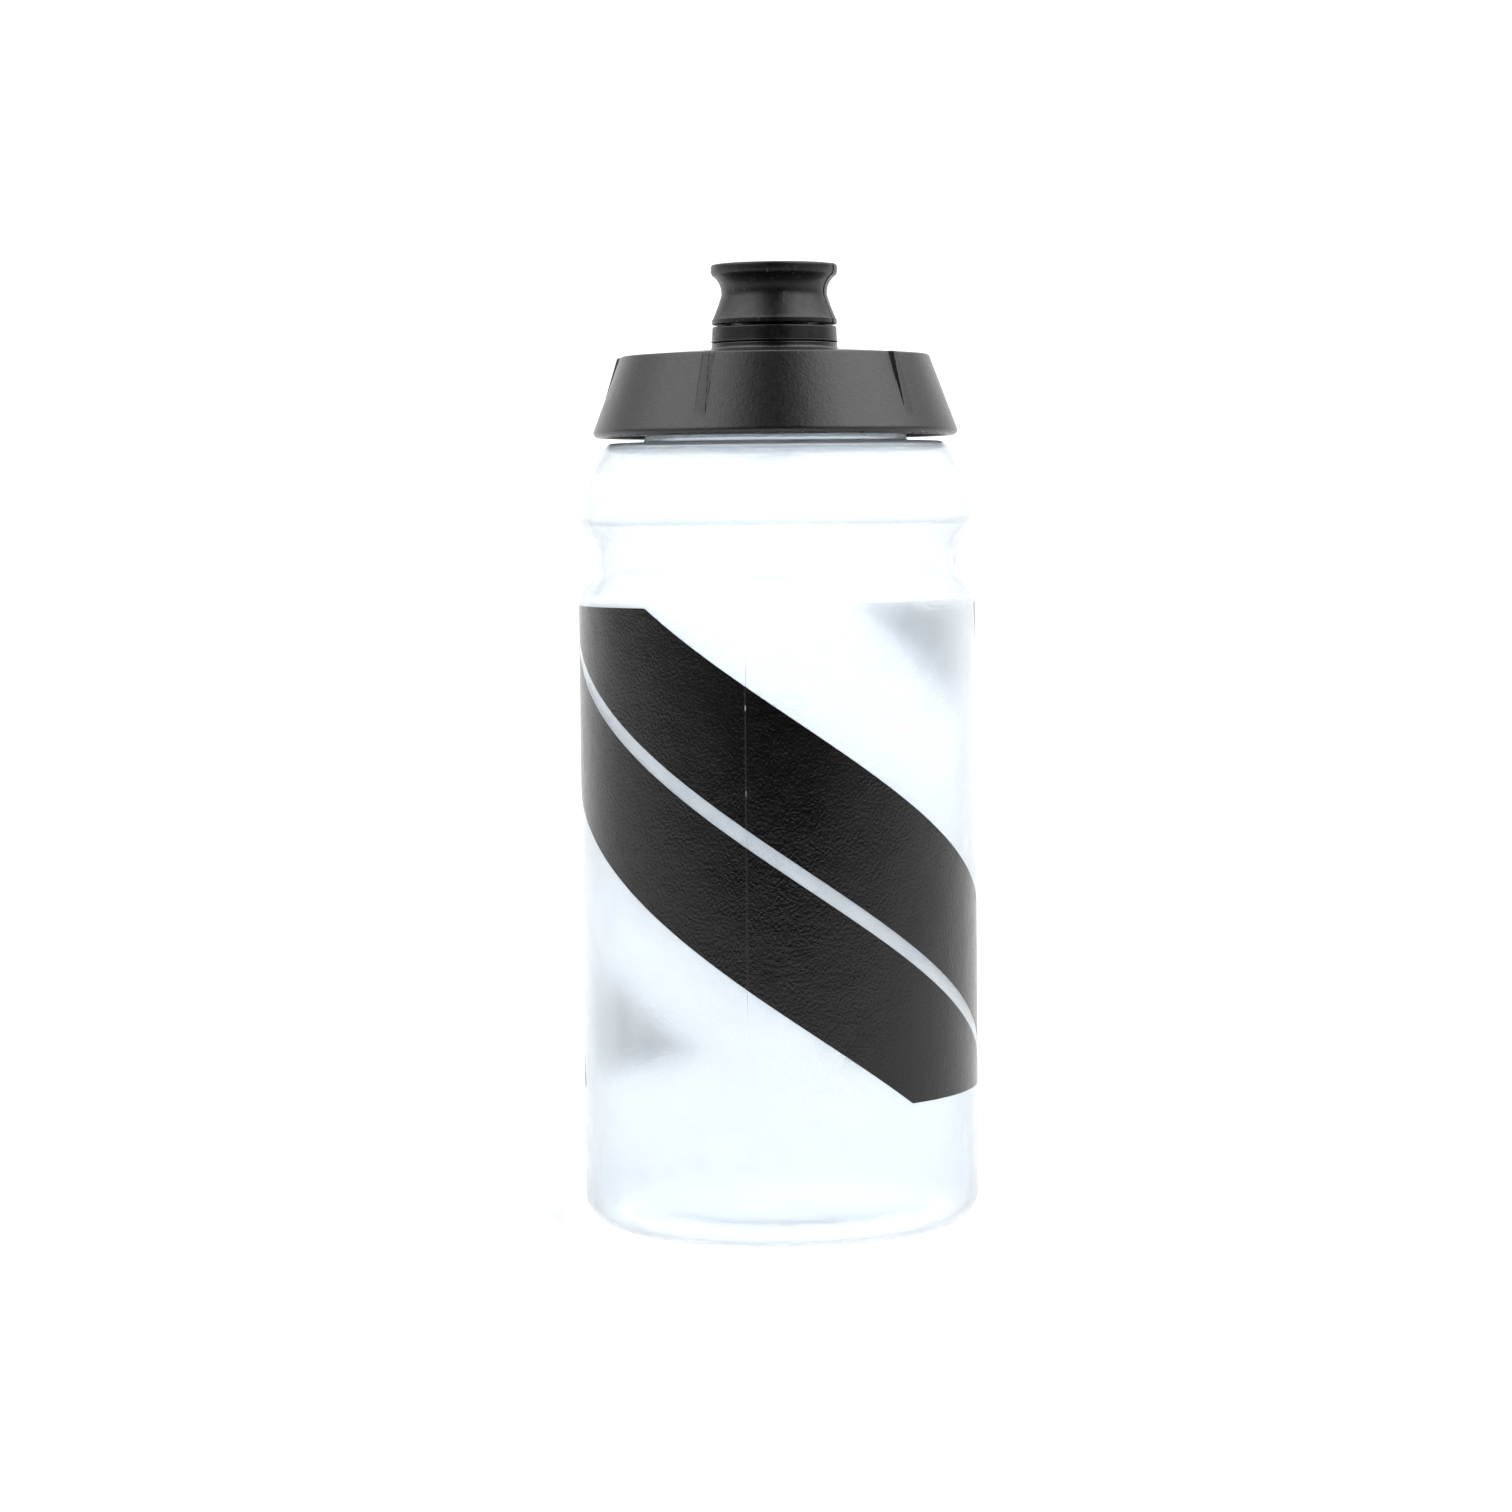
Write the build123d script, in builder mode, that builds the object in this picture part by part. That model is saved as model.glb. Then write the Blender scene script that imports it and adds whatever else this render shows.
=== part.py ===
from build123d import *

import os

# A squeeze bottle for a bicycle cage: a soft blow-moulded bottle, a screw lid with five
# grip ribs, and a pull nozzle that slides on a valve housing snapped into the lid.
#
# Millimetres, +Z up along the bottle's axis, origin at the centre of the foot, where the
# bottle stands. The front is -Y, and azimuths count in degrees from the front towards +X.

# ---------------------------------------------------------------- driving dimensions

# Bottle
BARREL_R = 36.75  # standard cage size, 73.5 across
WALL = 1.0
FOOT_R = 31.6  # outer edge of the ring that the bottle stands on
FOOT_IN_R = 27.2
PUNT_R = 24.6  # the raised middle of the foot
PUNT_Z = 2.4
PUNT_TOP_Z = 4.4
GROOVE_Z = 116.2  # the groove that the cage's tab catches, from edge to edge
GROOVE_TOP_Z = 129.6
GROOVE_R = 33.3
GROOVE_LAND = 5.0  # height of the groove's flat floor
GROOVE_ROUND_R = 2.7
UPPER_R = 36.45  # the short barrel above the groove
SHOULDER_Z = 132.5  # where the shoulder starts to round in
SHOULDER_R = 31.7
SHOULDER_RIM_Z = 143.3
SHOULDER_TOP_R = 30.6
SHOULDER_TOP_Z = 144.4
SHOULDER_FALL = 0.15  # the shoulder's flat top falls this much to its rim
NECK_ROOT_ROUND_R = 0.6

# Neck, and the one-start right-hand thread that the lid shares
NECK_R = 24.2
MOUTH_R = 22.4
MOUTH_Z = 157.2
MOUTH_ROUND_R = 0.4
LEAD = 5.0  # rise of the lid for one turn
THREAD_HEIGHT = 1.05
THREAD_BASE = 2.0
THREAD_CREST = 1.0
THREAD_SINK = 0.3  # how far a ridge's root reaches into its wall
NECK_THREAD_Z = 148.6  # where the middle of the neck's ridge starts
NECK_THREAD_START = 25.0  # and at how many degrees from +X
NECK_THREAD_TURNS = 1.25
LID_THREAD_DROP = 1.6  # the lid's ridge runs this far under the neck's
LID_THREAD_START = 36.0  # degrees past the start of the neck's ridge
LID_THREAD_TURNS = 1.0

# Lid
LID_Z = 145.3  # lowest edge of the skirt
LID_EDGE_Z = 146.35  # crease between the cone and the rounded edge
LID_R = 33.63  # at the crease
LID_TOP_Z = 160.15
LID_TOP_R = 28.45
LID_TOP_ROUND_R = 0.5
SKIRT_WALL = 1.9
LID_WALL_R = 25.6  # inside of the threaded inner wall
LID_WALL = 1.5
LID_WALL_Z = 146.3
MOAT_TOP_Z = 155.6  # top of the hollow between the skirt and the inner wall
SEAT_Z = 158.6  # the face that the gasket sits against
SEAT_R = 21.4
SEAT_STEP_R = 20.6
DECK_MID_Z = 161.2  # where the deck meets the boss
DECK_UNDER_Z = 159.5
BOSS_R = 11.6  # raised ring round the hole that takes the valve housing
BOSS_TOP_Z = 162.55
BOSS_FOOT = 1.0  # the deck's slope stops this far outside the boss
BOSS_ROOT_ROUND_R = 0.7
BOSS_CHAMFER = 0.3
HOLE_R = 9.5
RIB_COUNT = 5
RIB_AZIMUTH = -24.3  # the first rib, just left of the front
RIB_HEIGHT = 0.78  # at the top; the ribs fade out downwards
RIB_FADE_Z = 148.8
RIB_BASE = 2.3
RIB_CREST = 1.1  # width of a rib's crest at its full height
RIB_SINK = 0.8
RIB_RUNOUT = 1.4  # length of a rib's foot, inside the skirt below the fade
RIB_ROUND_R = 0.3
RIB_TOP_Z = 160.0
RIB_OVERSHOOT = 1.0  # cut off at the top

# Gasket between the lid and the neck
SEAL_GAP = 0.05
SEAL_IN_R = 21.9
SEAL_OUT_R = 25.3
SEAL_ROUND_R = 0.25

# Valve housing
COLLAR_R = 11.55
COLLAR_TOP_R = 11.45
COLLAR_Z = 162.65
COLLAR_TOP_Z = 165.55
COLLAR_ROUND_R = 0.35
COLLAR_LIP_R = 11.68  # thin lip round the collar's foot
COLLAR_LIP = 0.32
COLLAR_LIP_ROUND_R = 0.1
SHANK_R = 9.4
SHANK_Z = 155.9
SNAP_R = 9.95  # bead that holds the shank in the lid's hole
SNAP_Z = 158.2
SNAP_TOP_Z = 159.35
SNAP_CREST = 0.35
SHANK_TAPER = 0.6
SHANK_TAPER_HEIGHT = 0.8
CHAMBER_R = 7.6
CHAMBER_LIP_R = 7.3
CHAMBER_LIP_TOP_Z = 156.5
CHAMBER_LIP_SLOPE = 0.3
CHAMBER_TOP_Z = 161.2
STEM_R = 6.0
STEM_BORE_R = 4.0
STEM_TOP_Z = 174.7
STEM_LAND_R = 6.3
STEM_TIP_CHAMFER = 0.5
PLUG_R = 2.45  # closes the nozzle's hole when the nozzle is down
PLUG_Z = 168.4
PLUG_TOP_Z = 176.55
PLUG_ROUND_R = 1.2
SPOKE_COUNT = 3
SPOKE_WIDTH = 1.2
SPOKE_TOP_Z = 171.0
SPOKE_SINK = 0.5  # how far a spoke reaches into the stem's wall

# Nozzle: a stiff core inside a soft grip
NOZZLE_TRAVEL = 5.0
CORE_R = 8.6
CORE_BORE_R = 6.5
CORE_Z = 166.2
CORE_TOP_Z = 175.95
CORE_ROOF_Z = 174.85
CORE_BEAD_R = 6.15  # bead at the foot, which the stem's ring stops at full travel
CORE_BEAD_TOP_Z = 167.0
CORE_BEAD_CHAMFER = 0.2
CORE_BEAD_SLOPE = 0.3
CORE_RIB_R = 9.0
CORE_RIB_ROOT_R = 7.5
CORE_RIB_ZS = (167.4, 174.4)
CORE_RIB_WIDTH = 0.8
SKIN_GAP = 0.04
NOZZLE_Z = 165.9
NOZZLE_TOP_Z = 176.95
NOZZLE_HOLE_R = 2.6
HOLE_EDGE_ROUND_R = 0.25
NOZZLE_FOOT_R = 11.55
NOZZLE_FOOT_TOP_Z = 166.8
NOZZLE_FOOT_ROUND_R = 0.25
FLANK_R = 11.4  # start of the flank, one crease in from the foot's band
FLANK_Z = 166.95
FLANK_MID_R = 10.5
FLANK_MID_Z = 169.1
WAIST_R = 9.76
WAIST_Z = 171.35
SCOOP_Z = 171.75  # the hollow that the lips and teeth hold
SCOOP_R = 3.9
SCOOP_SWEEP = 56.0
LIP_R = 11.68
LIP_Z = 175.55
LIP_ROUND_R = 0.5
DISH_R = 8.0
DISH_FLOOR_R = 4.6
DISH_DEPTH = 0.4

# O-rings, membrane and the clip that holds the membrane
STEM_RING_GROOVE = 1.2
STEM_RING_CLEARANCE = 0.05  # between the core's bead at full travel and the groove
STEM_RING_GROOVE_R = 5.1
STEM_RING_R = 5.78  # to the middle of the ring's section
STEM_RING_SECTION_R = 0.55
HOUSING_RING_R = 10.3
HOUSING_RING_SECTION_R = 0.48
HOUSING_RING_ROOM = 0.6  # half the width of its groove
HOUSING_RING_GROOVE = 0.95
MEMBRANE_R = 7.5
MEMBRANE_Z = 159.7
MEMBRANE_TOP_Z = 161.1
DOME_R = 5.6
DOME_EDGE_Z = 160.1
DOME_WALL = 0.7
DOME_DIP = 0.8
SLIT_LENGTH = 7.0
SLIT_WIDTH = 0.12
CLIP_R = 7.55
CLIP_IN_R = 5.5
CLIP_Z = 156.6
CLIP_TOP_Z = 159.65
CLIP_CHAMFER = 0.3


def skirt_radius(z):
    """Radius of the lid's cone at height z."""
    share = (z - LID_EDGE_Z) / (LID_TOP_Z - LID_EDGE_Z)
    return LID_R + (LID_TOP_R - LID_R) * share


def thread_ridge(root_r, outward, start_z, turns, start_angle):
    """A right-hand ridge with a trapezoid section, on a round wall of radius root_r.

    outward is 1 for a ridge on the outside of the wall, and -1 for one on the inside.
    """
    flank = (THREAD_BASE - THREAD_CREST) / 2 / THREAD_HEIGHT
    foot_width = THREAD_BASE / 2 + THREAD_SINK * flank
    with BuildPart() as ridge:
        with BuildLine():
            path = Helix(LEAD, LEAD * turns, root_r, center=(0, 0, start_z))
        with BuildSketch(Plane(path @ 0, x_dir=(outward, 0, 0), z_dir=path % 0)):
            with BuildLine():
                Polyline(
                    (-THREAD_SINK, -foot_width),
                    (THREAD_HEIGHT, -THREAD_CREST / 2),
                    (THREAD_HEIGHT, THREAD_CREST / 2),
                    (-THREAD_SINK, foot_width),
                    close=True,
                )
            make_face()
        sweep(path=path, is_frenet=True)
    return ridge.part.rotate(Axis.Z, start_angle)


def ring(radius, section_r, z):
    """An O-ring whose section is centred radius from the axis, at height z."""
    with BuildPart() as torus:
        with BuildSketch(Plane.XZ):
            with Locations((radius, z)):
                Circle(section_r)
        revolve(axis=Axis.Z)
    return torus


# ---------------------------------------------------------------- bottle

neck_thread = thread_ridge(
    NECK_R, 1, NECK_THREAD_Z, NECK_THREAD_TURNS, NECK_THREAD_START
)

with BuildPart() as bottle_body:
    with BuildSketch(Plane.XZ) as silhouette:
        with BuildLine():
            foot = Polyline((PUNT_R, PUNT_Z), (FOOT_IN_R, 0), (FOOT_R, 0))
            corner_r = BARREL_R - FOOT_R
            corner = RadiusArc(foot @ 1, (BARREL_R, corner_r), -corner_r)
            land_z = (GROOVE_Z + GROOVE_TOP_Z - GROOVE_LAND) / 2
            side = FilletPolyline(
                corner @ 1,
                (BARREL_R, GROOVE_Z),
                (GROOVE_R, land_z),
                (GROOVE_R, land_z + GROOVE_LAND),
                (UPPER_R, GROOVE_TOP_Z),
                (UPPER_R, SHOULDER_Z),
                radius=GROOVE_ROUND_R,
            )
            shoulder = TangentArc(side @ 1, (SHOULDER_R, SHOULDER_RIM_Z), tangent=(0, 1))
            neck = FilletPolyline(
                shoulder @ 1,
                (SHOULDER_TOP_R, SHOULDER_TOP_Z - SHOULDER_FALL),
                (NECK_R, SHOULDER_TOP_Z),
                (NECK_R, MOUTH_Z),
                radius=NECK_ROOT_ROUND_R,
            )
            Polyline(neck @ 1, (0, MOUTH_Z), (0, PUNT_TOP_Z))
            TangentArc((0, PUNT_TOP_Z), foot @ 0, tangent=(1, 0))
        make_face()
    revolve(axis=Axis.Z)
    # The cavity is the silhouette drawn in by the wall, up to the top of the shoulder.
    with BuildSketch(Plane.XZ):
        add(silhouette.sketch_local)
        mirror(about=Plane.YZ)
        offset(amount=-WALL, kind=Kind.INTERSECTION)
        with Locations((0, SHOULDER_TOP_Z - WALL)):
            Rectangle(
                BARREL_R, MOUTH_Z, align=(Align.MIN, Align.MAX), mode=Mode.INTERSECT
            )
    revolve(axis=Axis.Z, mode=Mode.SUBTRACT)
    with BuildSketch(Plane.XY.offset(MOUTH_Z)):
        Circle(MOUTH_R)
    extrude(amount=-(MOUTH_Z - SHOULDER_RIM_Z + WALL), mode=Mode.SUBTRACT)
    mouth_edges = bottle_body.edges().filter_by(GeomType.CIRCLE).group_by(Axis.Z)[-1]
    fillet(mouth_edges, radius=MOUTH_ROUND_R)
    add(neck_thread)

# ---------------------------------------------------------------- lid

lid_thread = thread_ridge(
    LID_WALL_R,
    -1,
    NECK_THREAD_Z - LID_THREAD_DROP + LEAD * LID_THREAD_START / 360,
    LID_THREAD_TURNS,
    NECK_THREAD_START + LID_THREAD_START,
)

# One grip rib, on the +X side of the cone. Its sides splay at a constant slope, and its
# crest runs out into the cone.
cone_top = Vector(LID_TOP_R, 0, LID_TOP_Z)
cone_fade = Vector(skirt_radius(RIB_FADE_Z), 0, RIB_FADE_Z)
cone_down = (cone_fade - cone_top).normalized()
cone_out = cone_down.cross(Vector(0, 1, 0))
crest_top = cone_top + cone_out * RIB_HEIGHT
crest_out = (cone_fade - crest_top).normalized().cross(Vector(0, 1, 0))
splay = (RIB_BASE - RIB_CREST) / 2 / RIB_HEIGHT

with BuildPart() as rib:
    with BuildSketch(Plane(cone_top - cone_down * RIB_OVERSHOOT, x_dir=cone_out, z_dir=cone_down)):
        sunk_width = RIB_BASE / 2 + RIB_SINK * splay
        full_width = RIB_CREST / 2 - (RIB_SINK - RIB_HEIGHT) * splay
        with BuildLine():
            Polyline(
                (-RIB_SINK, -sunk_width),
                (RIB_SINK, -full_width),
                (RIB_SINK, full_width),
                (-RIB_SINK, sunk_width),
                close=True,
            )
        make_face()
    extrude(amount=(cone_fade - cone_top).length + RIB_OVERSHOOT + RIB_RUNOUT)
    split(bisect_by=Plane(crest_top, x_dir=(0, 1, 0), z_dir=crest_out), keep=Keep.BOTTOM)
    split(bisect_by=Plane.XY.offset(RIB_TOP_Z), keep=Keep.BOTTOM)
    crest = rib.faces().sort_by(Axis(crest_top, crest_out))[-1]
    fillet(crest.edges().sort_by(Axis.Z)[1:], radius=RIB_ROUND_R)

with BuildPart() as lid:
    with BuildSketch(Plane.XZ):
        with BuildLine():
            edge_r = LID_EDGE_Z - LID_Z
            skirt_in_r = LID_R - SKIRT_WALL
            edge = RadiusArc((LID_R - edge_r, LID_Z), (LID_R, LID_EDGE_Z), -edge_r)
            cone = FilletPolyline(
                edge @ 1,
                (LID_TOP_R, LID_TOP_Z),
                (BOSS_R + BOSS_FOOT, DECK_MID_Z),
                radius=LID_TOP_ROUND_R,
            )
            boss_root = FilletPolyline(
                cone @ 1,
                (BOSS_R, DECK_MID_Z),
                (BOSS_R, BOSS_TOP_Z - BOSS_CHAMFER),
                radius=BOSS_ROOT_ROUND_R,
            )
            Polyline(
                boss_root @ 1,
                (BOSS_R - BOSS_CHAMFER, BOSS_TOP_Z),
                (HOLE_R, BOSS_TOP_Z),
                (HOLE_R, DECK_UNDER_Z),
                (SEAT_STEP_R, DECK_UNDER_Z),
                (SEAT_R, SEAT_Z),
                (LID_WALL_R, SEAT_Z),
                (LID_WALL_R, LID_WALL_Z),
                (LID_WALL_R + LID_WALL, LID_WALL_Z),
                (LID_WALL_R + LID_WALL, MOAT_TOP_Z),
                (skirt_radius(MOAT_TOP_Z) - SKIRT_WALL, MOAT_TOP_Z),
                (skirt_in_r, LID_EDGE_Z),
                (skirt_in_r, LID_Z),
                edge @ 0,
            )
        make_face()
    revolve(axis=Axis.Z)
    with PolarLocations(0, RIB_COUNT, start_angle=RIB_AZIMUTH - 90):
        add(rib.part)
    add(lid_thread)

with BuildPart() as lid_seal:
    with BuildSketch(Plane.XY.offset(MOUTH_Z + SEAL_GAP)):
        Circle(SEAL_OUT_R)
        Circle(SEAL_IN_R, mode=Mode.SUBTRACT)
    extrude(amount=SEAT_Z - MOUTH_Z - 2 * SEAL_GAP)
    fillet(lid_seal.edges(), radius=SEAL_ROUND_R)

# ---------------------------------------------------------------- valve housing

with BuildPart() as valve_housing:
    with BuildSketch(Plane.XZ):
        with BuildLine():
            collar_lip = FilletPolyline(
                (SHANK_R, COLLAR_Z),
                (COLLAR_LIP_R, COLLAR_Z),
                (COLLAR_LIP_R, COLLAR_Z + COLLAR_LIP),
                (COLLAR_R, COLLAR_Z + COLLAR_LIP),
                radius=COLLAR_LIP_ROUND_R,
            )
            collar = FilletPolyline(
                collar_lip @ 1,
                (COLLAR_TOP_R, COLLAR_TOP_Z),
                (STEM_R, COLLAR_TOP_Z),
                radius=COLLAR_ROUND_R,
            )
            groove_z = CORE_BEAD_TOP_Z + NOZZLE_TRAVEL + STEM_RING_CLEARANCE
            groove_top_z = groove_z + STEM_RING_GROOVE
            Polyline(
                collar @ 1,
                (STEM_R, groove_z),
                (STEM_RING_GROOVE_R, groove_z),
                (STEM_RING_GROOVE_R, groove_top_z),
                (STEM_LAND_R, groove_top_z),
                (STEM_LAND_R, STEM_TOP_Z - STEM_TIP_CHAMFER),
                (STEM_LAND_R - STEM_TIP_CHAMFER, STEM_TOP_Z),
                (STEM_BORE_R, STEM_TOP_Z),
                (STEM_BORE_R, CHAMBER_TOP_Z),
                (CHAMBER_R, CHAMBER_TOP_Z),
                (CHAMBER_R, CHAMBER_LIP_TOP_Z),
                (CHAMBER_LIP_R, CHAMBER_LIP_TOP_Z - CHAMBER_LIP_SLOPE),
                (CHAMBER_LIP_R, SHANK_Z),
                (SHANK_R - SHANK_TAPER, SHANK_Z),
                (SHANK_R, SHANK_Z + SHANK_TAPER_HEIGHT),
                (SHANK_R, SNAP_Z),
                (SNAP_R, SNAP_TOP_Z - SNAP_CREST),
                (SNAP_R, SNAP_TOP_Z),
                (SHANK_R, SNAP_TOP_Z),
                collar_lip @ 0,
            )
        make_face()
    revolve(axis=Axis.Z)
    with BuildSketch(Plane.XY.offset(COLLAR_Z)):
        Circle(HOUSING_RING_R + HOUSING_RING_ROOM)
        Circle(HOUSING_RING_R - HOUSING_RING_ROOM, mode=Mode.SUBTRACT)
    extrude(amount=HOUSING_RING_GROOVE, mode=Mode.SUBTRACT)
    with BuildSketch(Plane.XY.offset(PLUG_Z)):
        Circle(PLUG_R)
    extrude(amount=PLUG_TOP_Z - PLUG_Z)
    fillet(valve_housing.edges().group_by(Axis.Z)[-1], radius=PLUG_ROUND_R)
    with BuildSketch(Plane.XY.offset(PLUG_Z)):
        with PolarLocations(0, SPOKE_COUNT):
            Rectangle(
                STEM_BORE_R + SPOKE_SINK, SPOKE_WIDTH, align=(Align.MIN, Align.CENTER)
            )
    extrude(amount=SPOKE_TOP_Z - PLUG_Z)

housing_seal = ring(
    HOUSING_RING_R,
    HOUSING_RING_SECTION_R,
    BOSS_TOP_Z + SEAL_GAP + HOUSING_RING_SECTION_R,
)

with BuildPart() as valve_membrane:
    with BuildSketch(Plane.XZ):
        with BuildLine():
            low_z = DOME_EDGE_Z - DOME_DIP
            under = TangentArc((0, low_z), (DOME_R, DOME_EDGE_Z), tangent=(1, 0))
            over = TangentArc(
                (0, low_z + DOME_WALL), (DOME_R, DOME_EDGE_Z + DOME_WALL), tangent=(1, 0)
            )
            Polyline(
                under @ 1,
                (DOME_R, MEMBRANE_Z),
                (MEMBRANE_R, MEMBRANE_Z),
                (MEMBRANE_R, MEMBRANE_TOP_Z),
                (DOME_R, MEMBRANE_TOP_Z),
                over @ 1,
            )
            Line(over @ 0, under @ 0)
        make_face()
    revolve(axis=Axis.Z)
    with BuildSketch(Plane.XY.offset(low_z)):
        Rectangle(SLIT_LENGTH, SLIT_WIDTH)
        Rectangle(SLIT_WIDTH, SLIT_LENGTH)
    extrude(amount=MEMBRANE_TOP_Z - low_z, both=True, mode=Mode.SUBTRACT)

with BuildPart() as membrane_retainer:
    with BuildSketch(Plane.XY.offset(CLIP_Z)):
        Circle(CLIP_R)
        Circle(CLIP_IN_R, mode=Mode.SUBTRACT)
    extrude(amount=CLIP_TOP_Z - CLIP_Z)
    chamfer(membrane_retainer.edges().group_by(Axis.Z)[0], length=CLIP_CHAMFER)

# ---------------------------------------------------------------- nozzle

nozzle_seal = ring(STEM_RING_R, STEM_RING_SECTION_R, (groove_z + groove_top_z) / 2)

with BuildPart() as nozzle_core:
    with BuildSketch(Plane.XZ):
        with BuildLine():
            Polyline(
                (CORE_BEAD_R + CORE_BEAD_CHAMFER, CORE_Z),
                (CORE_R, CORE_Z),
                (CORE_R, CORE_TOP_Z),
                (NOZZLE_HOLE_R, CORE_TOP_Z),
                (NOZZLE_HOLE_R, CORE_ROOF_Z),
                (CORE_BORE_R, CORE_ROOF_Z),
                (CORE_BORE_R, CORE_BEAD_TOP_Z + CORE_BEAD_SLOPE),
                (CORE_BEAD_R, CORE_BEAD_TOP_Z),
                (CORE_BEAD_R, CORE_Z + CORE_BEAD_CHAMFER),
                close=True,
            )
        make_face()
    revolve(axis=Axis.Z)
    for rib_z in CORE_RIB_ZS:
        with BuildSketch(Plane.XY.offset(rib_z)):
            Circle(CORE_RIB_R)
            Circle(CORE_RIB_ROOT_R, mode=Mode.SUBTRACT)
        extrude(amount=CORE_RIB_WIDTH)

with BuildPart() as nozzle_grip:
    with BuildSketch(Plane.XZ):
        with BuildLine():
            sole = FilletPolyline(
                (0, NOZZLE_Z),
                (NOZZLE_FOOT_R, NOZZLE_Z),
                (NOZZLE_FOOT_R, NOZZLE_FOOT_TOP_Z),
                radius=NOZZLE_FOOT_ROUND_R,
            )
            Line(sole @ 1, (FLANK_R, FLANK_Z))
            ThreePointArc(
                (FLANK_R, FLANK_Z), (FLANK_MID_R, FLANK_MID_Z), (WAIST_R, WAIST_Z)
            )
            Line((WAIST_R, WAIST_Z), (WAIST_R, SCOOP_Z))
            scoop = CenterArc((WAIST_R + SCOOP_R, SCOOP_Z), SCOOP_R, 180, -SCOOP_SWEEP)
            Line(scoop @ 1, (LIP_R, LIP_Z))
            lip = FilletPolyline(
                (LIP_R, LIP_Z),
                (LIP_R, NOZZLE_TOP_Z),
                (DISH_R, NOZZLE_TOP_Z),
                radius=LIP_ROUND_R,
            )
            Polyline(
                lip @ 1,
                (DISH_FLOOR_R, NOZZLE_TOP_Z - DISH_DEPTH),
                (0, NOZZLE_TOP_Z - DISH_DEPTH),
                (0, NOZZLE_Z),
            )
        make_face()
    revolve(axis=Axis.Z)
    with BuildSketch(Plane.XY.offset(NOZZLE_Z)):
        Circle(CORE_R + SKIN_GAP)
    extrude(amount=CORE_TOP_Z + SKIN_GAP - NOZZLE_Z, mode=Mode.SUBTRACT)
    for rib_z in CORE_RIB_ZS:
        with BuildSketch(Plane.XY.offset(rib_z - SKIN_GAP)):
            Circle(CORE_RIB_R + SKIN_GAP)
        extrude(amount=CORE_RIB_WIDTH + 2 * SKIN_GAP, mode=Mode.SUBTRACT)
    with Locations((0, 0, NOZZLE_TOP_Z)):
        Hole(NOZZLE_HOLE_R)
    full_circles = nozzle_grip.edges().filter_by(lambda edge: edge.is_closed)
    hole_edges = full_circles.group_by(SortBy.RADIUS)[0]
    fillet(hole_edges.sort_by(Axis.Z)[-1], radius=HOLE_EDGE_ROUND_R)

# ---------------------------------------------------------------- export

pieces = {
    "bottle_body": bottle_body,
    "lid": lid,
    "lid_seal": lid_seal,
    "valve_housing": valve_housing,
    "housing_seal": housing_seal,
    "valve_membrane": valve_membrane,
    "membrane_retainer": membrane_retainer,
    "nozzle_seal": nozzle_seal,
    "nozzle_core": nozzle_core,
    "nozzle_grip": nozzle_grip,
}

os.makedirs("parts", exist_ok=True)
for name, piece in pieces.items():
    piece.part.label = name
    export_step(piece.part, f"parts/{name}.step")
    size = piece.part.bounding_box().size
    print(f"{name}: {piece.part.volume:.0f} mm3, {size.X:.2f} x {size.Y:.2f} x {size.Z:.2f}")
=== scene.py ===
"""The looks of a bicycle water bottle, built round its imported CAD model.

Outlines are in millimetres, as the CAD is, and each mesh is made in metres in the
model's own frame: +Z up along the bottle's axis, the front at -Y. An azimuth counts from
the front towards +X, so it grows anticlockwise seen from above.
"""

import math

import bpy
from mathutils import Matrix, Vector


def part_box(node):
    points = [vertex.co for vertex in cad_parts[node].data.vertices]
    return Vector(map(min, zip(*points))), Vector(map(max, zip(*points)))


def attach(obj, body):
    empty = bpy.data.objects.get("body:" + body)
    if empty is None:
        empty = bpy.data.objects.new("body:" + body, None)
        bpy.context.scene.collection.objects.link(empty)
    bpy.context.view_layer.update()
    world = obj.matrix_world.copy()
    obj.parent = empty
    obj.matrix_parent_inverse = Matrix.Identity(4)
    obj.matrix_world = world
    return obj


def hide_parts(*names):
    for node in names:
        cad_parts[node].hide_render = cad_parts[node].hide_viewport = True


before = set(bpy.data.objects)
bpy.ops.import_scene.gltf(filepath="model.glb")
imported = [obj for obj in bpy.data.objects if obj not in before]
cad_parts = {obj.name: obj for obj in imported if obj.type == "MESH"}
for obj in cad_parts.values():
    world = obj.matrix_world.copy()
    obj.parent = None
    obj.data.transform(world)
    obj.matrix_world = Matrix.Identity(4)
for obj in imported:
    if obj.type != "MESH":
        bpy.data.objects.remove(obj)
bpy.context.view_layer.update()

MM = 0.001


def node_box(node):
    """Lowest and highest corner of a CAD node, in millimetres."""
    low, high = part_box(node)
    return low / MM, high / MM


# ---------------------------------------------------------------- sizes from the frame

_, bottle_high = node_box("bottle_body")
lid_low, lid_high = node_box("lid")
grip_low, grip_high = node_box("nozzle_grip")

BARREL_R = bottle_high.x
MOUTH_Z = bottle_high.z
LID_Z = lid_low.z
LID_R = lid_high.x
BOSS_Z = lid_high.z
NOZZLE_Z = grip_low.z
NOZZLE_TOP_Z = grip_high.z
LIP_R = grip_high.x

# The bottle's skin lies this far inside the CAD barrel, which leaves room for the ink.
SKIN_INSET = 0.1
INK_LIFT = 0.012
INK_THICKNESS = 0.028

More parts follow.
